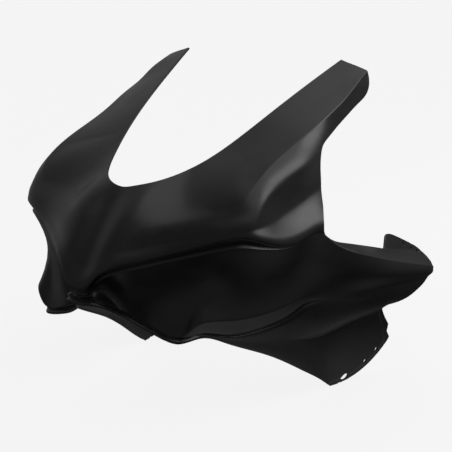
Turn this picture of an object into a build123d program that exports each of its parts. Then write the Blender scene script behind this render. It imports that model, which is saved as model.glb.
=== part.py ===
"""Motorcycle upper fairing: one moulded shell with its window arms, brow, side scoops and rear flanges.

Millimetres, X forward, Y to the rider's left, Z up, with the origin in the middle of the whole part.
The skin is carried by rails, the long lines that the eye follows on the moulding. Each rail is given at some
stations of the left half, from 0 on the middle plane to 10 behind the tail, and a spline fills in the rest.
Rails and side-view outlines are measured from a point on the middle plane inside the nose.
"""
import os

from build123d import *

# Wall, the groove under the brow's lip, and the rolled lower edge under the nose
WALL = 3.0
GROOVE_DEPTH = 7.0
GROOVE_DROP = 2.5
GROOVE_HEIGHT = 9.0
LIP_SETBACK = 2.5
ROLLED_EDGE = 8.0

# Bulge of the flare over the brow's lip, and of the lower panel above and below the valley crease, full where
# the strip is as tall as the span
FLARE_ROLL = 12.0
PANEL_BULGE = 7.0
SKIRT_BULGE = 3.0
BULGE_SPAN = 60.0

# Fastener holes of the rear lower edge and of the shelf's upright tab, as places in the side view
FASTENER_HOLE = 5.0
FASTENER_PLACES = [(-83, -186), (-104, -174)]
SLOT_LENGTH = 10.0
SLOT_HEIGHT = 7.5
SLOT_PLACE = (-42, -198)
SLOT_TURN = 12.0
TAB_HOLE = 3.2
TAB_PLACES = [(-145, -26), (-165, -36), (-179, -43.5)]

# Stations at which every line of the skin is set, the end of the lip, and the sections between the stations
STATIONS = [0, 0.5, 1, 1.5, 2, 2.5, 3, 3.5, 4, 5, 6, 6.5, 7, 8, 9, 10]
LIP_END = 7
BETWEEN = [0.25, 0.75, 3.75, 4.5, 5.5, 7.5, 8.5]
NEAR = 0.02

# Rails of the upper skin, from the window down to the brow's lip
WINDOW_RIM = {0: (225, 0, 99.5), 1: (222, 18, 102.5), 2: (207, 37, 107), 4: (150, 68, 125),
              6: (75, 91, 159), 8: (-40, 114.5, 208), 10: (-240, 153, 283)}
RIDGE = {0: (262, 0, 65), 1: (262, 24, 72.5), 1.5: (258.5, 37, 76), 2: (249, 51, 79), 3: (218, 88, 84),
         4: (182, 134, 88), 5: (137, 144, 114.5), 6: (90, 154, 141), 7: (36, 158, 160), 8: (-33, 160, 184),
         9: (-110, 161, 221), 10: (-240, 172, 270)}
SHOULDER = {0: (280, 0, 44), 1: (280.5, 25, 53), 1.5: (275, 40, 57), 2: (264, 57, 61), 3: (229, 106, 72),
            4: (203, 164, 82), 5: (156.5, 170, 118), 6: (106, 172.5, 127), 7: (51, 173, 134),
            8: (-27, 166, 165), 9: (-103, 165.5, 198), 10: (-240, 174, 246)}
FLANK = {0: (297, 0, 20), 1: (296, 24.5, 32), 1.5: (288, 39, 39), 2: (275, 58, 43), 3: (237, 112, 57),
         4: (210, 166, 66), 5: (150.5, 171, 68), 6: (92, 169.5, 77.5), 7: (42, 169, 86.5),
         8: (-30, 165, 90), 9: (-110, 166, 82), 10: (-240, 177, 50)}
BROW_LIP = {0: (314, 0, -7), 0.5: (312.5, 13, -5), 1: (309, 23, 9), 2: (283, 58, 26), 3: (240, 115, 42),
            4: (212, 163, 54.5), 5: (168, 180, 39), 6: (122, 189.5, 34.5), 7: (83, 198, 39),
            8: (12, 192, 36), 9: (-76, 187, 18), 10: (-240, 198, -18)}

# Rails of the rear shelf, behind the end of the lip: its inner edge and the crease along its outer edge
SHELF_EDGE = {8: (5, 196, 8), 9: (-79, 196, -19), 10: (-240, 209, -61)}
CREASE = {8: (0, 212.5, -6), 9: (-100, 219.5, -40), 10: (-240, 223, -82)}

# Rails of the lower skin
STEP_EDGE = {0: (311, 0, -18), 1: (299, 26, -20.5), 1.5: (276, 33.5, -35), 2: (264.5, 50, -47.5),
             2.5: (258.5, 72, -57.5), 3: (254, 103, -63), 3.5: (244, 125, -45.5), 4: (216, 141, -46),
             5: (164, 159, -51), 6: (124, 172, -47), 7: (83, 184, -43), 8: (0, 197, -60),
             9: (-95, 206.5, -74), 10: (-240, 217, -96)}
STEP_FOOT = {3.5: (222, 114, -67), 4: (190, 124, -76), 5: (139, 147, -78), 6: (106, 168, -66),
             6.5: (96, 175.5, -57), 7: (78, 182, -53), 8: (-4, 194, -72), 9: (-92, 204, -84),
             10: (-240, 215, -103)}
VALLEY = {3.5: (220, 113, -70), 4: (183.5, 121, -83.5), 5: (118, 142, -102), 6: (75, 161, -108),
          6.5: (57.5, 166, -111.5), 7: (37, 170, -114), 8: (-16, 179.5, -111), 9: (-82, 190, -111.5),
          10: (-240, 209, -118)}
LOWER_EDGE = {3.5: (218, 112, -73), 4: (177, 118, -91), 5: (100, 134, -129), 6: (37, 150, -168),
              6.5: (18.5, 156.5, -180), 7: (-2, 160, -194), 8: (-70, 158, -235), 9: (-140, 165, -245),
              10: (-240, 175, -245)}

# How deep the side scoop sinks below the straight line from crease to step, and how open the groove is
SCOOP_PLACE = 0.45
SCOOP_DEPTH = {0: 3, 0.5: 6, 1: 9, 1.5: 14, 2: 2, 2.5: 6, 3: 12, 4: 20, 5: 20, 6: 12, 7: 0, 8: -5, 9: -5,
               10: -2}
GROOVE_SHARE = {0: 0.6, 1: 0.8, 2: 0.8, 3: 0.9, 4: 1.2, 5: 0.5, 6: 0.1, 7: 0.1}

# Stations over which the step fades into the fin, and over which the valley turns from a bend into a crease
STEP_FADE = (6.5, 7.5)
VALLEY_RISE = (5.5, 7.0)
RIDGE_RISE = (3.5, 5.0)

# Side-view outlines that trim the rear: behind the arms and above the shelf, and behind the lower panel
ARM_END = [(-89, 300), (-89, 227), (-93, 215)]
REAR_EDGE = [(-93, 215), (-98, 203), (-93, 190), (-64, 175.5), (-35, 165), (-5, 155), (26, 144.5),
             (46, 133), (50.5, 122), (46, 109), (41, 92), (44, 75), (58, 60), (72, 50), (79, 42),
             (76, 35), (65, 28), (40, 18.5), (-46, -9), (-91, -22.5)]
TAB_FRONT = [(-91, -22.5), (-102, -6.5)]
TAB_TOP = [(-102, -6.5), (-111, -7.5), (-130, -14.5), (-162, -30), (-187, -44.5), (-198, -56), (-201, -65),
           (-199.5, -72.5)]
TAIL_CLEAR = [(-199.5, -72.5), (-260, -72.5), (-260, 300), (-89, 300)]
SKIRT_EDGE = [(-19, -205), (-40, -206.5), (-74, -203), (-109, -187), (-134, -165)]
NOTCHES = [(-134, -165), (-119, -148), (-124.5, -143), (-108, -125), (-102, -115)]
FIN_EDGE = [(-102, -115), (-101.5, -110), (-107, -107), (-122, -108), (-140, -109.5), (-152, -109),
            (-164, -104.5), (-183, -93.5), (-194, -85), (-198, -78.5), (-199.5, -72.5)]
SKIRT_CLEAR = [(-199.5, -72.5), (-260, -72.5), (-260, -270), (-10, -270), (-19, -205)]
REACH = 300.0

# Lines of the skin in order, those that are corners all along, and the straight pieces across each strip
LINES = ["window", "ridge", "shoulder", "flank", "lip", "groove", "crease", "scoop", "step", "foot",
         "valley", "edge"]
CORNERS = ["window", "lip", "groove", "crease", "edge"]
FOLDS = [5, 3, 3, 4, 1, 1, 3, 3, 1, 4, 4]
BULGES = {"flank": FLARE_ROLL, "foot": PANEL_BULGE, "valley": SKIRT_BULGE}
LAST = STATIONS[-1]
UP = Vector(0, 0, 1)
ASIDE = Vector(0, 1, 0)


def mirrored(point):
    return Vector(point.X, -point.Y, point.Z)


def rail_edge(rail):
    """Spline over the stations, through the mirrored and the given points of a rail."""
    given = {station: Vector(point) for station, point in rail.items()}
    if 0 in given:
        given |= {-station: mirrored(point) for station, point in list(given.items())}
    keys = sorted(given)
    return Edge.make_spline([given[key] for key in keys], parameters=keys)


def at(edge, station):
    return Vector(edge.geom_adaptor().Value(station))


def value_at(values, station):
    """Number at a station, on a spline through the given ones."""
    return at(rail_edge({key: (value, key, 0) for key, value in values.items()}), station).X


def fade(station, start, end):
    """Share from 0 before the first station to 1 after the second."""
    return min(max((station - start) / (end - start), 0), 1)


def run_along(edge, station):
    """Short piece of a rail about a station."""
    return at(edge, min(station + NEAR, LAST)) - at(edge, max(station - NEAR, -LAST))


def outward(edge, station):
    """Level direction out of the shell, square to a rail, and straight sideways at the last station."""
    if station == LAST:
        return ASIDE
    run = run_along(edge, station)
    return Vector(run.Y, -run.X, 0).normalized()


def skin_row(station, lip, step):
    """Points of the lines that hang on the lip and the step at one station, from the groove down."""
    lip_point, step_point = at(lip, station), at(step, station)
    if station <= LIP_END:
        share = value_at(GROOVE_SHARE, station)
        out = outward(lip, station)
        groove = lip_point - (out * GROOVE_DEPTH + UP * GROOVE_DROP) * share
        crease = lip_point - (out * LIP_SETBACK + UP * GROOVE_HEIGHT) * share
    else:
        groove, crease = Vector(SHELF_EDGE[station]), Vector(CREASE[station])
    sunk = outward(step, station) * value_at(SCOOP_DEPTH, station)
    scoop = crease + (step_point - crease) * SCOOP_PLACE - sunk
    if station in STEP_FOOT:
        lower = [Vector(rail[station]) for rail in (STEP_FOOT, VALLEY, LOWER_EDGE)]
    else:
        lower = [step_point - UP * ROLLED_EDGE * part / 3 for part in (1, 2, 3)]
    return [groove, crease, scoop, step_point, *lower]


def skin():
    """Spline of every line of the outer skin, by name."""
    lip, step = rail_edge(BROW_LIP), rail_edge(STEP_EDGE)
    upper = [rail_edge(rail) for rail in (WINDOW_RIM, RIDGE, SHOULDER, FLANK)]
    rows = {station: skin_row(station, lip, step) for station in STATIONS}
    lower = [rail_edge(dict(zip(rows, points))) for points in zip(*rows.values())]
    return dict(zip(LINES, [*upper, lip, *lower]))


def wall_rows(curves, station):
    """Outer and inner points of one station, one wall apart, square to the skin beside each point."""
    row = [at(edge, station) for edge in curves.values()]
    runs = [run_along(edge, station) for edge in curves.values()]
    faces = [(b - a).cross(run_a + run_b) for a, b, run_a, run_b in zip(row, row[1:], runs, runs[1:])]
    if station == LAST:
        faces = [Vector(0, face.Y, face.Z) for face in faces]
    faces = [face.normalized() for face in faces]
    inner = []
    for point, above, below in zip(row, [faces[0], *faces], [*faces, faces[-1]]):
        inner.append(point - (above + below) * WALL / max(1 + above.dot(below), 0.5))
    return row, inner


def section(row, out, station):
    """Wire of one station along the skin, in straight pieces that follow a Bezier curve across each strip.

    The curves run on into each other, but not at corners.
    """
    sharp = {name: 1 for name in CORNERS}
    sharp |= {name: 1 - fade(station, *STEP_FADE) for name in ("step", "foot")}
    sharp |= {"ridge": fade(station, *RIDGE_RISE), "valley": fade(station, *VALLEY_RISE)}
    sharp = [sharp.get(name, 0) for name in LINES]
    chords = [b - a for a, b in zip(row, row[1:])]
    units = [chord.normalized() for chord in chords]
    spans = [chord.length for chord in chords]
    slopes = [a * after + b * before for a, b, before, after in zip(units, units[1:], spans, spans[1:])]
    slopes = [units[0], *[slope.normalized() for slope in slopes], units[-1]]
    eased = [slope * (1 - corner) for slope, corner in zip(slopes, sharp)]
    points = [row[0]]
    for k, (unit, chord) in enumerate(zip(units, chords)):
        ends = [(k, k + 1), (k + 1, k)]
        turn = [unit * (3 - sharp[other]) - eased[other] for _, other in ends]
        lean = [eased[here] + slope.normalized() * sharp[here] for (here, _), slope in zip(ends, turn)]
        lean = [slope.normalized() for slope in lean]
        bulge = BULGES.get(LINES[k], 0) * min(chord.length / BULGE_SPAN, 1)
        first = row[k] + lean[0] * chord.length / 3 + out * bulge * sharp[k]
        second = row[k + 1] - lean[1] * chord.length / 3 + out * bulge * sharp[k + 1]
        curve = Edge.make_bezier(row[k], first, second, row[k + 1])
        shares = [(fold + 1) / FOLDS[k] for fold in range(FOLDS[k])]
        points += [curve.position_at(share, PositionMode.PARAMETER) for share in shares]
    return Wire.make_polygon(points, close=False)


def lofted(wires):
    """Shell through the sections of both sides, ruled from each section to the next."""
    return Shell.make_loft([wire.mirror(Plane.XZ) for wire in wires[:0:-1]] + wires, ruled=True)


def rim(outer_wires, inner_wires, end):
    """Faces that close the wall along one free edge of the skin, at one end of every section."""
    lines = []
    for wires in (outer_wires, inner_wires):
        left = [wire.position_at(end) for wire in wires]
        lines.append(Wire(Polyline(*[mirrored(point) for point in left[:0:-1]], *left).edges()))
    return Shell.make_loft(lines, ruled=True).faces()


def rear_cap(outer_wire, inner_wire):
    """Flat face that closes the wall behind the tail."""
    ends = [Edge.make_line(outer_wire.position_at(end), inner_wire.position_at(end)) for end in (0, 1)]
    return Face(Wire([*outer_wire.edges(), *inner_wire.edges(), *ends]))


def closed_wall():
    """Solid between the outer and the inner skin."""
    curves = skin()
    outer_wires, inner_wires = [], []
    for station in sorted([*STATIONS, *BETWEEN]):
        out = outward(curves["step"], station)
        outer, inner = wall_rows(curves, station)
        outer_wires.append(section(outer, out, station))
        inner_wires.append(section(inner, out, station))
    outer_skin, inner_skin = lofted(outer_wires), lofted(inner_wires)
    cap = rear_cap(outer_wires[-1], inner_wires[-1])
    rims = [*rim(outer_wires, inner_wires, 0), *rim(outer_wires, inner_wires, 1)]
    return Solid(Shell([*outer_skin.faces(), *inner_skin.faces(), cap, cap.mirror(Plane.XZ), *rims]))


def side_cut(*stretches):
    """Block across the whole width, with a side-view outline of splines, as tuples, and straight lines."""
    edges = []
    for points in stretches:
        places = [Vector(x, 0, z) for x, z in points]
        if isinstance(points, tuple):
            edges.append(Edge.make_spline(places))
        else:
            edges += Polyline(*places).edges()
    return extrude(Face(Wire(edges)), REACH, ASIDE, both=True)


def cross_hole(place, outline, turn=0.0):
    """Hole of an outline through both sides at a place in the side view."""
    x, z = place
    side = Plane((x, 0, z), x_dir=(1, 0, 0), z_dir=(0, -1, 0))
    return extrude(side * Rot(0, 0, turn) * outline, REACH, both=True)


def fairing_shell():
    shell = closed_wall()
    shell -= side_cut(ARM_END, tuple(REAR_EDGE), TAB_FRONT, tuple(TAB_TOP), TAIL_CLEAR)
    shell -= side_cut(tuple(SKIRT_EDGE), NOTCHES, tuple(FIN_EDGE), SKIRT_CLEAR)
    for place in FASTENER_PLACES:
        shell -= cross_hole(place, Circle(FASTENER_HOLE / 2))
    for place in TAB_PLACES:
        shell -= cross_hole(place, Circle(TAB_HOLE / 2))
    shell -= cross_hole(SLOT_PLACE, SlotOverall(SLOT_LENGTH, SLOT_HEIGHT), SLOT_TURN)
    middle = shell.bounding_box().center()
    return shell.moved(Location((-middle.X, 0, -middle.Z)))


os.makedirs("parts", exist_ok=True)
export_step(fairing_shell(), "parts/fairing_shell.step")
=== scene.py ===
"""Looks of a moulded motorcycle fairing: its black shell, a pale floor, soft studio light and the camera.

The shell is worked out in millimetres from rails, the long lines that the eye follows on the moulding. A
rail is given at some stations of the left half, from 0 on the middle plane to 10 behind the tail. Rails and
side-view outlines are measured from a point on the middle plane inside the nose. The object is in metres.
"""
import math

import bpy
import numpy as np
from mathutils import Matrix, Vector


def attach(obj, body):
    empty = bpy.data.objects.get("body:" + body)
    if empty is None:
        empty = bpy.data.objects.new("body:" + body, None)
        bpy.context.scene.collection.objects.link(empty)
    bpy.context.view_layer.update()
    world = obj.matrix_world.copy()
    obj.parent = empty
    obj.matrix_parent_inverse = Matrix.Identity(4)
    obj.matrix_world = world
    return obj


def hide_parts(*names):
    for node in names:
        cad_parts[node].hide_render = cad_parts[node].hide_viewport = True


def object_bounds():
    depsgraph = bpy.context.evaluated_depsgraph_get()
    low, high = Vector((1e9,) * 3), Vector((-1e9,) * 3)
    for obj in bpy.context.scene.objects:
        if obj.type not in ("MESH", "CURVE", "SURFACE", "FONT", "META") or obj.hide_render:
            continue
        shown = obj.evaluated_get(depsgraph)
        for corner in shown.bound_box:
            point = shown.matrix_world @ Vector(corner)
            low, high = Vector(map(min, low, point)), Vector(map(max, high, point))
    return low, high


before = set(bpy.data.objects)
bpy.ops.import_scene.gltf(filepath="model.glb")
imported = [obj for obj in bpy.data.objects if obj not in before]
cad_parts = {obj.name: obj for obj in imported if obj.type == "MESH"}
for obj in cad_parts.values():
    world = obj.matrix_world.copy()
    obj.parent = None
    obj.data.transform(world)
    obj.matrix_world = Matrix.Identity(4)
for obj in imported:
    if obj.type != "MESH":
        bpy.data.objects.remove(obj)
cad_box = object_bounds()

MM = 0.001
MIDDLE = np.array([56.4815, 0.0, 10.3332])   # middle of the whole part, seen from the rails' own zero

# Wall and the limit of its mitre at sharp bends, the groove under the brow's lip, and the rolled lower edge
# under the nose
WALL = 3.0
MITRE_LIMIT = 0.5
GROOVE_DEPTH = 7.0
GROOVE_DROP = 2.5
GROOVE_HEIGHT = 9.0
LIP_SETBACK = 2.5
ROLLED_EDGE = 8.0

# Narrow groove along the foot of the step
FOOT_GROOVE = 3.0
FOOT_GROOVE_WIDTH = 2.2

# How far strips of the skin swell out beside a corner, in full where the strip is as tall as the span: the
# flare above the brow's lip, the lower panel under the step's foot and above the valley, and the skirt
FLARE_ROLL = 18.0
FOOT_BULGE = 4.0
PANEL_BULGE = 12.0
SKIRT_BULGE = 7.0
BULGE_SPAN = 60.0

# Small roundings: of the moulded corners, at most a share of the strip beside them, and of the free edges
EASE = 1.2
EASE_SHARE = 0.3
EDGE_ROUND = 1.0

# Set-back band along the rear lower edges, where the next panel lies on this one
FLANGE_WIDTH = 9.0
FLANGE_SETBACK = 1.6
FLANGE_BLEND = 1.5

# Stations of the lower rails, the station where the lip ends, how many points of the groove under the lip
# are worked out for each station, a short step along the stations, and the last one
STATIONS = [0, 0.5, 1, 1.5, 2, 2.5, 3, 3.5, 4, 5, 6, 6.5, 7, 8, 9, 10]
LIP_END = 7
GROOVE_POINTS = 4
NEAR = 0.02
LAST = STATIONS[-1]

# Rails of the upper skin, from the window down to the brow's lip
WINDOW_RIM = {0: (225, 0, 99.5), 1: (222, 18, 102.5), 2: (207, 37, 107), 4: (150, 68, 125),
              6: (75, 91, 159), 8: (-40, 114.5, 208), 10: (-240, 153, 283)}
RIDGE = {0: (262, 0, 65), 1: (262, 24, 72.5), 1.5: (258.5, 37, 76), 2: (249, 51, 79), 3: (218, 88, 84),
         4: (200, 146, 93.5), 5: (159.5, 158, 120.5), 6: (97, 158, 142.5), 7: (41, 161, 161),
         7.5: (10, 163.5, 172.5), 8: (-25.5, 164, 185.5), 8.5: (-60, 164, 202), 9: (-112, 160, 221),
         10: (-240, 172, 270)}
SHOULDER = {0: (280, 0, 44), 1: (280.5, 25, 53), 1.5: (275, 40, 57), 2: (264, 57, 61), 3: (229, 106, 72),
            4: (202, 159, 85.5), 5: (157, 167.5, 112), 6: (97, 173, 128.5), 7: (47, 171, 133),
            7.5: (8, 166.5, 146.5), 8: (-29.5, 165.5, 165.5), 9: (-107, 164, 197.5), 10: (-240, 174, 246)}
FLANK = {0: (297, 0, 20), 1: (296, 24.5, 32), 1.5: (288, 39, 39), 2: (275, 58, 43), 3: (237, 112, 57),
         4: (210, 166, 66), 5: (150.5, 171, 68), 6: (92, 169.5, 77.5), 7: (42, 169, 86.5),
         8: (-30, 165, 90), 9: (-110, 166, 82), 10: (-240, 177, 50)}
BROW_LIP = {0: (314, 0, -7), 0.5: (312.5, 13, -5), 1: (309, 23, 9), 2: (283, 58, 26), 3: (240, 115, 42),
            4: (212, 163, 54.5), 5: (168, 180, 39), 6: (114.5, 184.5, 32), 7: (69.5, 189, 34.5),
            7.25: (57.5, 191, 28.5), 7.5: (42, 193, 21), 8: (8, 195, 12), 9: (-76, 187, 18),
            10: (-240, 198, -18)}

# Rails of the rear shelf, behind the end of the lip: its inner edge and the crease along its outer edge
SHELF_EDGE = {7.25: (56.5, 191.5, 27), 7.5: (40.5, 194, 19), 8: (5, 196, 8), 9: (-79, 196, -19),
              10: (-240, 209, -61)}
CREASE = {7.25: (57.5, 193, 25), 7.5: (43, 199.5, 13.5), 8: (0, 212.5, -6), 9: (-100, 219.5, -40),
          10: (-240, 223, -82)}

# Rails of the lower skin
STEP_EDGE = {0: (311, 0, -18), 1: (299, 26, -20.5), 1.5: (276, 33.5, -35), 2: (264.5, 50, -47.5),
             2.5: (258.5, 72, -57.5), 3: (254, 103, -63), 3.5: (244, 125, -45.5), 4: (216, 141, -46),
             5: (164, 159, -51), 6: (124, 172, -47), 7: (83, 184, -43), 8: (0, 197, -60),
             9: (-95, 206.5, -74), 10: (-240, 217, -96)}
STEP_FOOT = {3.5: (222, 114, -67), 4: (190, 124, -76), 5: (139, 147, -78), 6: (106, 168, -66),
             6.5: (96, 175.5, -57), 7: (78, 182, -53), 8: (-4, 194, -72), 9: (-92, 204, -84),
             10: (-240, 215, -103)}
VALLEY = {3.5: (220, 113, -70), 4: (183.5, 121, -83.5), 5: (118, 142, -102), 6: (75, 161, -108),
          6.5: (57.5, 166, -111.5), 7: (37, 170, -114), 8: (-16, 179.5, -111), 9: (-82, 190, -111.5),
          10: (-240, 209, -118)}
LOWER_EDGE = {3.5: (218, 112, -73), 4: (177, 118, -91), 5: (100, 134, -129), 6: (37, 150, -168),
              6.5: (18.5, 156.5, -180), 7: (-2, 160, -194), 8: (-70, 158, -235), 9: (-140, 165, -245),
              10: (-240, 175, -245)}

# How deep the side scoop sinks behind the straight line from crease to step, and its share of the way down
SCOOP_DEPTH = {0: 3, 0.5: 6, 1: 9, 1.5: 14, 2: 2, 2.5: 7, 3: 13, 3.5: 15, 4: 13, 5: 9, 6: 5, 7: 0, 8: -5,
               9: -5, 10: -2}
SCOOP_PLACE = 0.45

# How open the groove under the lip is at the stations, and the least that keeps its lines apart
GROOVE_SHARE = {0: 0.6, 1: 0.8, 2: 0.8, 3: 0.9, 4: 1.2, 5: 0.5, 6: 0.05, 7: 0.02}
LEAST_SHARE = 0.03

# Stations over which the ledge under the lip draws back as far as the groove, the step fades into the fin,
# and the valley and the ridge turn from bends into creases
LEDGE_FADE = (4.5, 6)
STEP_FADE = (6.5, 7.5)
VALLEY_RISE = (5.5, 7.0)
RIDGE_RISE = (3.5, 5.0)

# Side-view outlines that trim the rear, first behind the arms and above the shelf, then behind the lower
# panel, and how close the points of their curves stand
ARM_END = [(-89, 300), (-89, 224)]
REAR_EDGE = [(-89, 224), (-93, 216), (-96.5, 203), (-92, 190), (-63, 175), (-33.5, 165), (-7, 154.5),
             (21, 143.5), (42, 132.5), (46, 123), (44, 110), (38.5, 91), (43.5, 75), (56.5, 59.5),
             (65.5, 49.5), (68, 39.5), (63, 31), (55, 24.5), (27, 13.5), (-44, -8), (-91, -22.5)]
TAB_FRONT = [(-91, -22.5), (-102, -6.5)]
TAB_TOP = [(-102, -6.5), (-111, -7.5), (-130, -14.5), (-162, -30), (-187, -44.5), (-198, -56),
           (-201, -65), (-199.5, -72.5)]
TAIL_CLEAR = [(-199.5, -72.5), (-260, -72.5), (-260, 300), (-89, 300)]
SKIRT_EDGE = [(-19, -205), (-40, -206.5), (-74, -203), (-109, -187), (-134, -165)]
NOTCHES = [(-134, -165), (-119, -148), (-124.5, -143), (-108, -125), (-102, -115)]
FIN_EDGE = [(-102, -115), (-101.5, -110.5), (-107, -108.5), (-119, -109.5), (-139, -112), (-154, -110.5),
            (-174, -103.5), (-193, -95.5), (-199.5, -88), (-201, -80), (-199.5, -72.5)]
SKIRT_CLEAR = [(-199.5, -72.5), (-260, -72.5), (-260, -270), (-10, -270), (-19, -205)]
OUTLINE_STEP = 2.0

# Holes in the side view, as place and radius: fasteners of the skirt, then clips of the rear tab
HOLES = [(-83, -186, 3.0), (-104, -174, 3.0), (-146, -28.5, 1.8), (-166, -38.5, 1.8), (-180, -46.5, 1.8)]

# Oval slot near the lower tip: its place, half its width and height, and its turn
SLOT = (-42, -198)
SLOT_HALF = (6.8, 4.4)
SLOT_TURN = math.radians(12)

# Grid of the shell: columns along the left half, how close they stand at the stations, rows across each
# strip between two lines, rows round a corner, how strongly rows crowd to a strip's lines, how the skirt's
# rows are spread, and how many stations measure the lip's length
COLUMNS = 196
PACE = [(0, 5, 7, 9.7, 10), (1, 1, 1.7, 1.7, 0.4)]
STRIP_ROWS = [10, 7, 9, 10, 14, 6, 8, 8, 7, 10, 32]
CORNER_ROWS = 3
CROWDING = 0.85
SKIRT_SPREAD = [(0, 0.05, 0.2, 0.9, 1), (0, 0.01, 0.4, 0.82, 1)]
FINE_STATIONS = 2001

# Lines of the skin in order, and those that are corners all along
LINES = ["window", "ridge", "shoulder", "flank", "lip", "groove", "crease", "scoop", "step", "foot",
         "valley", "edge"]
CORNERS = ["window", "lip", "groove", "crease", "edge"]

# Directions up and to the left, and the lengths below which a vector and a chord count as none
UP = np.array([0.0, 0.0, 1.0])
ASIDE = np.array([0.0, 1.0, 0.0])
NO_LENGTH = 1e-9
SHORT_CHORD = 1e-6

# Finish of the moulding: its colour and roughness where it is clean and where a film of haze is thickest,
# size of the haze patches and of the wipe marks along the panels in millimetres, and the marks' tilt
CLEAN_COLOUR = "#090909"
HAZED_COLOUR = "#171719"
CLEAN_ROUGHNESS = 0.25
HAZED_ROUGHNESS = 0.4
HAZE_SIZE = 70.0
WIPE_SIZE = (160.0, 22.0, 14.0)
WIPE_TILT = math.radians(30)

# Camera of the photograph: turn from straight ahead to the left, height angle, distance in metres, focal
# length over picture width, and width of the sensor
CAMERA_TURN = 33.68
CAMERA_RISE = 15.07
CAMERA_DISTANCE = 1.6439
CAMERA_FOCUS = 1200 / 452
SENSOR = 36.0

# Studio in metres: its white, how strongly the world lights, the soft box, and the floor with its colour
# and the share of it that glows
WHITE = "#ffffff"
WORLD_LEVEL = 0.5
BOX_PLACE = (-1.03, 1.415, 0.97)
BOX_SIZE = (1.15, 1.4)
BOX_POWER = 10.0
FLOOR_REACH = 40.0
FLOOR_COLOUR = "#e0e0e0"
FLOOR_GLOW = 0.85

# Dark cove round the part: its radius, its wall's least and greatest heights, the direction where the wall
# is tallest, its profile as shares of radius and height, and its number of sides
COVE_RADIUS = 2.4
COVE_LOW = 0.9
COVE_HIGH = 8.0
COVE_TURN = math.radians(-60)
COVE_PROFILE = [(0.0, 0.0), (0.9, 0.0), (1.0, 0.1), (1.0, 1.0)]
COVE_SIDES = 96

# How brightly the cove glows, painting the reflections of the dim studio: the patch under the part, the
# ground round it, the wall, and the wall in its lightest direction; and the distances over which the patch
# turns into ground, and ground into wall
UNDER_PART_GLOW = 0.15
GROUND_LEVEL = 0.03
WALL_LEVEL = 0.15
LIGHTEST_LEVEL = 0.33
LIGHTEST_TURN = math.radians(-115)
UNDER_PART_GLOW_EDGE = (0.32, 0.45)
WALL_FOOT = (0.5, 0.9)


def unit(vectors):
    """Vectors divided by their lengths."""
    return vectors / np.maximum(np.linalg.norm(vectors, axis=-1, keepdims=True), NO_LENGTH)


def spline(keys, values, at):
    """Cubic curve through values at rising keys, with one second derivative on both sides of each key.

    Its slope at each end is that of the parabola through the three nearest values.
    """
    keys, values = np.asarray(keys, float), np.asarray(values, float)
    gap = np.diff(keys)
    chord = np.diff(values, axis=0) / gap[:, None]
    inner = np.arange(1, len(keys) - 1)
    system, right = np.eye(len(keys)), np.empty_like(values)
    system[inner, inner - 1], system[inner, inner + 1] = gap[1:], gap[:-1]
    system[inner, inner] = 2 * (gap[:-1] + gap[1:])
    right[inner] = 3 * (chord[:-1] * gap[1:, None] + chord[1:] * gap[:-1, None])
    right[0] = chord[0] + (chord[0] - chord[1]) * gap[0] / (gap[0] + gap[1])
    right[-1] = chord[-1] + (chord[-1] - chord[-2]) * gap[-1] / (gap[-1] + gap[-2])
    slope = np.linalg.solve(system, right)
    k = np.clip(np.searchsorted(keys, at) - 1, 0, len(gap) - 1)
    width = gap[k][:, None]
    t = ((at - keys[k]) / gap[k])[:, None]
    rising = values[k] * (1 + 2 * t) * (1 - t) ** 2 + values[k + 1] * t * t * (3 - 2 * t)
    return rising + width * (slope[k] * t * (1 - t) ** 2 - slope[k + 1] * t * t * (1 - t))


def on_rail(rail, stations):
    """Points of a rail, which runs on over the middle plane as its own mirror image."""
    keys = np.array(sorted(rail), float)
    points = np.array([rail[key] for key in sorted(rail)], float)
    left = keys > 0
    keys = np.concatenate([-keys[left][::-1], keys])
    points = np.concatenate([points[left][::-1] * [1, -1, 1], points])
    return spline(keys, points, np.asarray(stations, float))


def number_at(values, stations):
    """Smooth curve through numbers that are given at some stations."""
    keys = sorted(values)
    return spline(keys, [[values[key]] for key in keys], np.asarray(stations, float))


def fade(stations, start, end):
    """Straight rise from 0 at the start to 1 at the end."""
    return np.clip((stations - start) / (end - start), 0, 1)


def outward(rail, stations):
    """Level direction out of the shell, square to a rail, and straight sideways at the last station."""
    run = on_rail(rail, np.minimum(stations + NEAR, LAST)) - on_rail(rail, stations - NEAR)
    out = unit(np.stack([run[:, 1], -run[:, 0], 0 * run[:, 0]], 1))
    return np.where(stations[:, None] >= LAST, ASIDE, out)


def under_lip(stations):
    """The groove behind the brow's lip and the crease below it, as deep and tall as the groove is open."""
    lip, out = on_rail(BROW_LIP, stations), outward(BROW_LIP, stations)
    share = np.maximum(number_at(GROOVE_SHARE, np.minimum(stations, LIP_END)), LEAST_SHARE)
    setback = LIP_SETBACK + (GROOVE_DEPTH - LIP_SETBACK) * fade(stations, *LEDGE_FADE)[:, None]
    groove = lip - (out * GROOVE_DEPTH + UP * GROOVE_DROP) * share
    return groove, lip - (out * setback + UP * GROOVE_HEIGHT) * share


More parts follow.
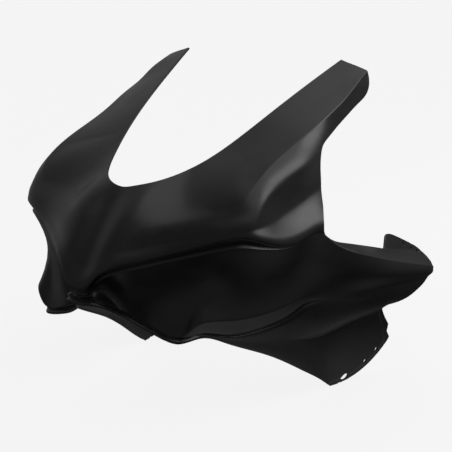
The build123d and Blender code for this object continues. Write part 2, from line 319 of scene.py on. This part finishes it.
def hung_rails():
    """Rails that hang on the lip and the step: groove, crease, scoop, step, foot, valley and lower edge.

    The scoop lies a share of the way from crease to step, sunk by its depth. At stations ahead of their own
    points, foot, valley and lower edge divide the rolled edge under the step into thirds.
    """
    at = np.array(STATIONS, float)
    step = on_rail(STEP_EDGE, at)
    _, crease = under_lip(at)
    behind = at > LIP_END
    crease[behind] = [CREASE[key] for key in at[behind]]
    scoop = crease + (step - crease) * SCOOP_PLACE - outward(STEP_EDGE, at) * number_at(SCOOP_DEPTH, at)
    lower = []
    for part, rail in enumerate((STEP_FOOT, VALLEY, LOWER_EDGE), 1):
        rolled = step - UP * ROLLED_EDGE * part / 3
        lower.append(np.array([rail.get(key, point) for key, point in zip(at, rolled)]))
    ahead = np.linspace(0, LIP_END, GROOVE_POINTS * LIP_END + 1)
    hung = []
    for points, rear in zip(under_lip(ahead), (SHELF_EDGE, CREASE)):
        hung.append({**dict(zip(ahead, points)), **rear})
    return hung + [dict(zip(STATIONS, points)) for points in (scoop, step, *lower)]


def skin_lines(rails, stations):
    """Every line of the outer skin at the stations, as an array of station, line and coordinate."""
    return np.stack([on_rail(rail, stations) for rail in rails], 1)


def wall_lines(rails, stations):
    """Outer and inner lines, one wall apart, square to the skin on both sides of each line."""
    lines = skin_lines(rails, stations)
    run = skin_lines(rails, np.minimum(stations + NEAR, LAST)) - skin_lines(rails, stations - NEAR)
    faces = unit(np.cross(np.diff(lines, axis=1), run[:, 1:] + run[:, :-1]))
    above = np.concatenate([faces[:, :1], faces], 1)
    below = np.concatenate([faces, faces[:, -1:]], 1)
    open_angle = np.maximum(1 + (above * below).sum(-1, keepdims=True), MITRE_LIMIT)
    return lines, lines - (above + below) * WALL / open_angle


def rows_across(strip, count):
    """Shares of a strip at which its rows lie.

    They are even under the lip, follow a table in the skirt, and elsewhere crowd to both lines by a sine.
    """
    even = np.linspace(0, 1, count)
    if LINES[strip] == "valley":
        return np.interp(even, *SKIRT_SPREAD)
    if LINES[strip] == "lip":
        return even
    return even - CROWDING * np.sin(2 * np.pi * even) / (2 * np.pi)


def sharpness(stations):
    """How far each line is a corner at the stations, from 0 in a smooth bend to 1."""
    sharp = np.zeros((len(stations), len(LINES)))
    sharp[:, [LINES.index(name) for name in CORNERS]] = 1
    sharp[:, [LINES.index("step"), LINES.index("foot")]] = 1 - fade(stations, *STEP_FADE)[:, None]
    sharp[:, LINES.index("valley")] = fade(stations, *VALLEY_RISE)
    sharp[:, LINES.index("ridge")] = fade(stations, *RIDGE_RISE)
    return sharp[..., None]


def swell(length, out):
    """Outward push at the upper and the lower end of each strip, by its length as a share of the span."""
    push = np.zeros((2, *length.shape[:2], 3))
    for name, upper, lower in (("flank", FLARE_ROLL, FLARE_ROLL), ("foot", FOOT_BULGE, PANEL_BULGE),
                               ("valley", SKIRT_BULGE, SKIRT_BULGE)):
        strip = LINES.index(name)
        full = out * np.minimum(length[:, strip] / BULGE_SPAN, 1)
        push[:, :, strip] = full * upper, full * lower
    return push


def control_points(lines, length, sharp, out):
    """First and second control points of each strip's curve, a third of its length from its ends.

    At a smooth bend they lie along the skin's slope there. At a corner they lie along three times the
    strip's chord less the slope at its other end, or along the chord where that end is a corner too, and
    the strip's swell is added.
    """
    along = np.diff(lines, axis=1) / length
    slope = unit(along[:, :-1] * length[:, 1:] + along[:, 1:] * length[:, :-1])
    eased = np.concatenate([along[:, :1], slope, along[:, -1:]], 1) * (1 - sharp)
    leave = unit(eased[:, :-1] + sharp[:, :-1] * unit(along * (3 - sharp[:, 1:]) - eased[:, 1:]))
    arrive = unit(eased[:, 1:] + sharp[:, 1:] * unit(along * (3 - sharp[:, :-1]) - eased[:, :-1]))
    push = swell(length, out)
    first = lines[:, :-1] + leave * length / 3 + push[0] * sharp[:, :-1]
    second = lines[:, 1:] - arrive * length / 3 + push[1] * sharp[:, 1:]
    return first, second


def sections(lines, stations):
    """Rows of points across the skin at every station.

    Each strip is a cubic curve from line to line, drawn by two control points. Curves run on into each
    other, apart from corners. A groove with a bell-shaped section sinks along the foot of the step, and a
    small parabola eases every corner.
    """
    sharp = sharpness(stations)
    length = np.linalg.norm(np.diff(lines, axis=1), axis=2, keepdims=True)
    out = outward(STEP_EDGE, stations)
    first, second = control_points(lines, length, sharp, out)
    reach = np.minimum(EASE, EASE_SHARE * np.minimum(length[:, 1:], length[:, :-1]))
    ends = np.zeros((len(lines), 1, 1))
    start = np.concatenate([ends, reach], 1) / length
    stop = 1 - np.concatenate([reach, ends], 1) / length
    round_corner = (np.arange(1, CORNER_ROWS + 1) / (CORNER_ROWS + 1))[None, :, None]
    rows = []
    for strip, count in enumerate(STRIP_ROWS):
        this, after = slice(strip, strip + 1), slice(strip + 1, strip + 2)
        share = rows_across(strip, count)[None, :, None]
        t = start[:, this] * (1 - share) + stop[:, this] * share
        curve = lines[:, this] * (1 - t) ** 3 + 3 * first[:, this] * t * (1 - t) ** 2
        curve = curve + 3 * second[:, this] * t * t * (1 - t) + lines[:, after] * t ** 3
        if LINES[strip] in ("step", "foot"):
            away = (t if LINES[strip] == "foot" else 1 - t) * length[:, this]
            depth = FOOT_GROOVE * np.exp(-(away / FOOT_GROOVE_WIDTH) ** 2)
            curve = curve - out[:, None] * depth * sharp[:, LINES.index("foot"), None]
        if rows:
            before, corner, u = rows[-1][:, -1:], lines[:, this], round_corner
            rows.append(before * (1 - u) ** 2 + 2 * corner * u * (1 - u) + curve[:, :1] * u * u)
        rows.append(curve)
    return np.concatenate(rows, 1)


def smooth_slope(points, axis):
    """Direction along one way of a grid of points: both chords there, the shorter counting for more."""
    points = np.moveaxis(points, axis, 0)
    chord = np.diff(points, axis=0)
    length = np.maximum(np.linalg.norm(chord, axis=2, keepdims=True), SHORT_CHORD)
    along = chord / length
    inner = along[:-1] * length[1:] + along[1:] * length[:-1]
    return np.moveaxis(np.concatenate([along[:1], inner, along[-1:]]), 0, axis)


def normals_of(points):
    """Outward normals of a grid of points, square to its directions both ways."""
    return unit(np.cross(smooth_slope(points, 1), smooth_slope(points, 0)))


def drawn(points):
    """Side-view stretch with straight lines between the points, without its last point."""
    return np.array(points[:-1], float)


def curved(points):
    """Side-view stretch on a smooth curve through the points, as points close together."""
    points = np.array(points, float)
    reach = np.concatenate([[0], np.cumsum(np.linalg.norm(np.diff(points, axis=0), axis=1))])
    return spline(reach, points, np.arange(0, reach[-1], OUTLINE_STEP))


def distance_to(places, outline, closed):
    """Distance of places from an outline of close points, and whether they lie inside a closed one."""
    nearest = np.full(len(places), np.inf)
    inside = np.zeros(len(places), bool)
    ends = np.roll(outline, -1, 0) if closed else outline[1:]
    for a, b in zip(outline, ends):
        edge = b - a
        t = np.clip((places - a) @ edge / (edge @ edge), 0, 1)
        nearest = np.minimum(nearest, ((places - a - t[:, None] * edge) ** 2).sum(1))
        crosses = (a[1] > places[:, 1]) != (b[1] > places[:, 1])
        if closed and crosses.any():
            inside ^= crosses & (places[:, 0] < a[0] + edge[0] * (places[:, 1] - a[1]) / (edge[1] or 1))
    return np.sqrt(nearest), inside


def outside_holes(places):
    """How far side-view places lie outside the nearest round hole or the oval slot."""
    far = np.full(len(places), np.inf)
    for x, z, radius in HOLES:
        far = np.minimum(far, np.hypot(places[:, 0] - x, places[:, 1] - z) - radius)
    long = (places - SLOT) @ [math.cos(SLOT_TURN), math.sin(SLOT_TURN)] / SLOT_HALF[0]
    tall = (places - SLOT) @ [-math.sin(SLOT_TURN), math.cos(SLOT_TURN)] / SLOT_HALF[1]
    return np.minimum(far, (np.hypot(long, tall) - 1) * SLOT_HALF[1])


def trims(points):
    """How far each point lies inside the trimmed side view, and how far from the flanged rear edges."""
    places = points.reshape(-1, 3)[:, [0, 2]]
    above = np.concatenate([drawn(ARM_END), curved(REAR_EDGE), drawn(TAB_FRONT), curved(TAB_TOP),
                            drawn(TAIL_CLEAR)])
    flange = np.concatenate([curved(SKIRT_EDGE), drawn(NOTCHES), curved(FIN_EDGE)])
    below = np.concatenate([flange, drawn(SKIRT_CLEAR)])
    kept = np.full(len(places), np.inf)
    for outline in (above, below):
        away, inside = distance_to(places, outline, True)
        kept = np.minimum(kept, np.where(inside, -away, away))
    kept = np.minimum(kept, outside_holes(places) - EDGE_ROUND)
    from_flange, _ = distance_to(places, flange, False)
    return kept.reshape(points.shape[:2]), from_flange.reshape(points.shape[:2])


def clipped_faces(kept):
    """Faces of a grid where it is kept, as corner numbers: cells are cut where the kept depth is zero.

    Grid corners have their own numbers. Cut points along columns and along rows follow them. Returns the
    faces and, for every point, the two grid corners it lies between and its share of the way.
    """
    count = np.arange(kept.size).reshape(kept.shape)
    one = [count.ravel(), count[:-1].ravel(), count[:, :-1].ravel()]
    two = [count.ravel(), count[1:].ravel(), count[:, 1:].ravel()]
    one, two = np.concatenate(one), np.concatenate(two)
    depth_one, depth_two = kept.ravel()[one], kept.ravel()[two]
    cut = (depth_one > 0) != (depth_two > 0)
    share = np.where(cut, depth_one / np.where(cut, depth_one - depth_two, 1), 0)
    across = kept.size + np.arange(count[:-1].size).reshape(count[:-1].shape)
    down = across.max() + 1 + np.arange(count[:, :-1].size).reshape(count[:, :-1].shape)
    corners = [count[:-1, :-1], count[:-1, 1:], count[1:, 1:], count[1:, :-1]]
    sides = [down[:-1], across[:, 1:], down[1:], across[:, :-1]]
    inside = [kept.ravel()[corner] > 0 for corner in corners]
    code = sum(flag << k for k, flag in enumerate(inside))
    faces = []
    for pattern in range(1, 16):
        cells = code == pattern
        ring = []
        for k in range(4):
            if pattern >> k & 1:
                ring.append(corners[k][cells])
            if (pattern >> k & 1) != (pattern >> (k + 1) % 4 & 1):
                ring.append(sides[k][cells])
        faces.append(np.stack(ring, 1))
    return faces, one, two, share


def boundary(faces):
    """Edges that only one face has, in that face's direction."""
    start = np.concatenate([face.ravel() for face in faces])
    end = np.concatenate([np.roll(face, -1, 1).ravel() for face in faces])
    size = max(start.max(), end.max()) + 1
    alone = ~np.isin(start * size + end, end * size + start)
    return start[alone], end[alone]


def closed_shell(outer, inner, faces):
    """Points, normals and faces of the closed wall between two like skins, with a rounded free edge.

    The edge's line lies halfway between the skins, pushed out square to the boundary and along the skin.
    """
    (front, front_normals), (back, back_normals) = outer, inner
    front_normals, back_normals = unit(front_normals), unit(back_normals)
    start, end = boundary(faces)
    across = unit(np.cross(front[end] - front[start], front_normals[start]))
    square = np.zeros_like(front)
    np.add.at(square, start, across)
    np.add.at(square, end, across)
    square = unit(square)
    edge = (front + back) / 2 + square * EDGE_ROUND
    size = len(edge)
    points = np.concatenate([front, edge, back])
    normals = np.concatenate([front_normals, square, -back_normals])
    rims = [np.stack([end, start, start + size, end + size], 1),
            np.stack([end + size, start + size, start + 2 * size, end + 2 * size], 1)]
    faces = [*faces, *[face[:, ::-1] + 2 * size for face in faces], *rims]
    return points, normals, faces


def mesh_object(name, points, normals, faces):
    """Smooth mesh object of the used points, in metres in the part's own frame."""
    used = np.unique(np.concatenate([face.ravel() for face in faces]))
    new = np.full(len(points), -1)
    new[used] = np.arange(len(used))
    sizes = np.concatenate([np.full(len(face), face.shape[1]) for face in faces])
    corners = np.concatenate([new[face].ravel() for face in faces])
    mesh = bpy.data.meshes.new(name)
    mesh.vertices.add(len(used))
    mesh.vertices.foreach_set("co", ((points[used] - MIDDLE) * MM).astype(np.float32).ravel())
    mesh.loops.add(len(corners))
    mesh.loops.foreach_set("vertex_index", corners.astype(np.int32))
    mesh.polygons.add(len(sizes))
    mesh.polygons.foreach_set("loop_start", np.concatenate([[0], np.cumsum(sizes)[:-1]]).astype(np.int32))
    mesh.polygons.foreach_set("use_smooth", np.ones(len(sizes), bool))
    mesh.update(calc_edges=True)
    mesh.validate()
    mesh.normals_split_custom_set_from_vertices(normals[used])
    made = bpy.data.objects.new(name, mesh)
    bpy.context.scene.collection.objects.link(made)
    return made


def fairing_shell():
    """The whole moulding: both skins on one grid, mirrored, trimmed, set back along the flanges and closed.

    Columns stand evenly along the brow's lip, whose length counts by the pace at each station. The set-back
    rises as a smooth step where the flange's width begins.
    """
    rails = [WINDOW_RIM, RIDGE, SHOULDER, FLANK, BROW_LIP, *hung_rails()]
    fine = np.linspace(0, LAST, FINE_STATIONS)
    steps = np.linalg.norm(np.diff(on_rail(BROW_LIP, fine), axis=0), axis=1) * np.interp(fine[1:], *PACE)
    reach = np.concatenate([[0], np.cumsum(steps)])
    stations = np.interp(np.linspace(0, reach[-1], COLUMNS + 1), reach, fine)
    skins = [sections(lines, stations) for lines in wall_lines(rails, stations)]
    skins = [np.concatenate([skin[:0:-1] * [1, -1, 1], skin]) for skin in skins]
    kept, from_flange = trims(skins[0])
    ramp = fade(FLANGE_WIDTH - from_flange, -FLANGE_BLEND, FLANGE_BLEND)
    setback = FLANGE_SETBACK * ramp * ramp * (3 - 2 * ramp)
    skins[0] = skins[0] - normals_of(skins[0]) * setback[..., None]
    faces, one, two, share = clipped_faces(kept)
    share = share[:, None]
    sides = []
    for skin in skins:
        points, normals = skin.reshape(-1, 3), normals_of(skin).reshape(-1, 3)
        sides.append([value[one] * (1 - share) + value[two] * share for value in (points, normals)])
    return mesh_object("fairing_shell_skin", *closed_shell(*sides, faces))


def linear(code):
    """Linear colour of an sRGB hex code."""
    parts = [int(code[k:k + 2], 16) / 255 for k in (1, 3, 5)]
    return [*[p / 12.92 if p <= 0.04045 else ((p + 0.055) / 1.055) ** 2.4 for p in parts], 1.0]


def add(tree, kind, inputs=(), **settings):
    """Adds a node with its settings. An input that is given a socket is linked, and any other is set."""
    made = tree.nodes.new(kind)
    for name, value in settings.items():
        setattr(made, name, value)
    for name, value in dict(inputs).items():
        if isinstance(value, bpy.types.NodeSocket):
            tree.links.new(value, made.inputs[name])
        else:
            made.inputs[name].default_value = value
    return made


def material(name):
    """New material with no nodes yet, and its node tree."""
    made = bpy.data.materials.new(name)
    made.use_nodes = True
    made.node_tree.nodes.clear()
    return made, made.node_tree


def black_moulding():
    """Bare black ABS as it leaves the mould: a satin skin with patches of haze and long, faint wipe marks.

    Where the film of haze is thicker, the surface is a little paler and its reflections are duller.
    """
    made, tree = material("black_abs_moulding")
    place = add(tree, "ShaderNodeTexCoord").outputs["Object"]
    haze = add(tree, "ShaderNodeTexNoise", {"Vector": place, "Scale": 1 / (HAZE_SIZE * MM), "Detail": 3.0,
                                            "Roughness": 0.55})
    lengthwise = add(tree, "ShaderNodeMapping", {"Vector": place, "Rotation": (0.0, WIPE_TILT, 0.0),
                                                 "Scale": [1 / (size * MM) for size in WIPE_SIZE]})
    wipes = add(tree, "ShaderNodeTexNoise", {"Vector": lengthwise.outputs[0], "Scale": 1.0, "Detail": 2.0,
                                             "Roughness": 0.5})
    both = add(tree, "ShaderNodeMath", {0: haze.outputs[0], 1: wipes.outputs[0]}, operation="ADD")
    film = add(tree, "ShaderNodeMapRange", {"Value": both.outputs[0], "From Min": 0.6, "From Max": 1.4})
    rough = add(tree, "ShaderNodeMapRange", {"Value": film.outputs[0], "To Min": CLEAN_ROUGHNESS,
                                             "To Max": HAZED_ROUGHNESS})
    # Inputs 6 and 7 and output 2 are the colours of a Mix node
    colour = add(tree, "ShaderNodeMix", {0: film.outputs[0], 6: linear(CLEAN_COLOUR),
                                         7: linear(HAZED_COLOUR)}, data_type="RGBA")
    shader = add(tree, "ShaderNodeBsdfPrincipled", {"Base Color": colour.outputs[2], "IOR": 1.5,
                                                    "Roughness": rough.outputs[0],
                                                    "Specular IOR Level": 0.5})
    add(tree, "ShaderNodeOutputMaterial", {"Surface": shader.outputs[0]})
    return made


def in_view(tree):
    """Socket that is 1 for rays from the camera, a mirror or a clear surface, and 0 for light on things."""
    path = add(tree, "ShaderNodeLightPath").outputs
    seen = path["Is Camera Ray"]
    for name in ("Is Glossy Ray", "Is Transmission Ray"):
        seen = add(tree, "ShaderNodeMath", {0: seen, 1: path[name]}, operation="MAXIMUM").outputs[0]
    return seen


def pale_floor(level):
    """Wide pale floor under the part, near white in the picture, with the part's shadow."""
    corners = [(x * FLOOR_REACH, y * FLOOR_REACH, level) for x, y in ((-1, -1), (1, -1), (1, 1), (-1, 1))]
    mesh = bpy.data.meshes.new("floor")
    mesh.from_pydata(corners, [], [(0, 1, 2, 3)])
    floor = bpy.data.objects.new("floor", mesh)
    bpy.context.scene.collection.objects.link(floor)
    made, tree = material("pale_floor")
    matt = add(tree, "ShaderNodeBsdfDiffuse", {"Color": linear(FLOOR_COLOUR)})
    lift = add(tree, "ShaderNodeEmission", {"Color": linear(WHITE), "Strength": in_view(tree)})
    both = add(tree, "ShaderNodeMixShader", {0: FLOOR_GLOW, 1: matt.outputs[0], 2: lift.outputs[0]})
    add(tree, "ShaderNodeOutputMaterial", {"Surface": both.outputs[0]})
    mesh.materials.append(made)


def white_surroundings():
    """World that lights softly, and is plain white where it is seen, mirrored or looked through."""
    world = bpy.data.worlds.new("studio")
    bpy.context.scene.world = world
    world.use_nodes = True
    tree = world.node_tree
    tree.nodes.clear()
    level = add(tree, "ShaderNodeMapRange", {"Value": in_view(tree), "To Min": WORLD_LEVEL, "To Max": 1.0})
    background = add(tree, "ShaderNodeBackground", {"Color": linear(WHITE),
                                                    "Strength": level.outputs[0]})
    add(tree, "ShaderNodeOutputWorld", {"Surface": background.outputs[0]})


def dark_cove(level):
    """Dark cove that only reflections see: a disc a millimetre over the floor, which turns up into a wall.

    Round the part, the wall's height swings as a cosine from tall in front to low behind. Its glow is
    painted
    reflection: dark shade round the part, lighter from the patch under the part and from one side of the
    wall.
    """
    turn = np.linspace(-np.pi, np.pi, COVE_SIDES + 1)[:, None]
    rise = COVE_LOW + (COVE_HIGH - COVE_LOW) * (1 + np.cos(turn - COVE_TURN)) / 2
    out, up = np.array(COVE_PROFILE).T
    radius = COVE_RADIUS * out
    height = level + MM + rise * up
    points = np.stack(np.broadcast_arrays(radius * np.cos(turn), radius * np.sin(turn), height), 2)
    count = np.arange(points[..., 0].size).reshape(points.shape[:2])
    faces = np.stack([count[:-1, :-1], count[1:, :-1], count[1:, 1:], count[:-1, 1:]], 2).reshape(-1, 4)
    mesh = bpy.data.meshes.new("dark_cove")
    mesh.from_pydata(points.reshape(-1, 3).tolist(), [], faces.tolist())
    cove = bpy.data.objects.new("dark_cove", mesh)
    bpy.context.scene.collection.objects.link(cove)
    cove.visible_camera = cove.visible_diffuse = cove.visible_shadow = False
    made, tree = material("painted_reflection_glow")
    place = add(tree, "ShaderNodeTexCoord").outputs["Object"]
    away = add(tree, "ShaderNodeVectorMath", {0: place}, operation="LENGTH").outputs["Value"]
    patch_glow = add(tree, "ShaderNodeMapRange", {"Value": away, "From Min": UNDER_PART_GLOW_EDGE[0], "From Max": UNDER_PART_GLOW_EDGE[1],
                                           "To Min": UNDER_PART_GLOW - GROUND_LEVEL, "To Max": 0.0})
    lightest = (math.cos(LIGHTEST_TURN), math.sin(LIGHTEST_TURN), 0.0)
    along = add(tree, "ShaderNodeVectorMath", {0: place, 1: lightest}, operation="DOT_PRODUCT")
    side = add(tree, "ShaderNodeMapRange", {"Value": along.outputs["Value"], "From Min": COVE_RADIUS / 2,
                                            "From Max": COVE_RADIUS, "To Min": WALL_LEVEL,
                                            "To Max": LIGHTEST_LEVEL})
    wall = add(tree, "ShaderNodeMapRange", {"Value": away, "From Min": WALL_FOOT[0],
                                            "From Max": WALL_FOOT[1], "To Min": GROUND_LEVEL,
                                            "To Max": side.outputs[0]})
    tone = add(tree, "ShaderNodeMath", {0: patch_glow.outputs[0], 1: wall.outputs[0]}, operation="ADD")
    # Painted reflection: the cove's glow stands for the dim studio's shade and light in the part's
    # reflections
    glow = add(tree, "ShaderNodeEmission", {"Color": linear(WHITE), "Strength": tone.outputs[0]})
    add(tree, "ShaderNodeOutputMaterial", {"Surface": glow.outputs[0]})
    mesh.materials.append(made)


def soft_box():
    """Soft box that shines on the middle of the part, and isn't itself in the picture."""
    lamp = bpy.data.lights.new("soft_box", "AREA")
    lamp.shape = "RECTANGLE"
    lamp.size, lamp.size_y = BOX_SIZE
    lamp.energy = BOX_POWER
    made = bpy.data.objects.new("soft_box", lamp)
    made.location = BOX_PLACE
    made.rotation_euler = (-Vector(BOX_PLACE)).to_track_quat("-Z", "Y").to_euler()
    made.visible_camera = False
    bpy.context.scene.collection.objects.link(made)


def photo_camera():
    """Camera at the photograph's angle and distance, level, aimed at the rails' zero."""
    turn, rise = math.radians(CAMERA_TURN), math.radians(CAMERA_RISE)
    back = Vector((math.cos(rise) * math.cos(turn), math.cos(rise) * math.sin(turn), math.sin(rise)))
    data = bpy.data.cameras.new("camera")
    data.sensor_width = SENSOR
    data.lens = SENSOR * CAMERA_FOCUS
    camera = bpy.data.objects.new("camera", data)
    camera.location = back * CAMERA_DISTANCE - Vector(MIDDLE * MM)
    camera.rotation_euler = (-back).to_track_quat("-Z", "Y").to_euler()
    bpy.context.scene.collection.objects.link(camera)
    bpy.context.scene.camera = camera


shell = fairing_shell()
shell.data.materials.append(black_moulding())
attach(shell, "root")
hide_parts("fairing_shell")

pale_floor(cad_box[0].z)
white_surroundings()
dark_cove(cad_box[0].z)
soft_box()
photo_camera()
bpy.context.scene.view_settings.view_transform = "Standard"
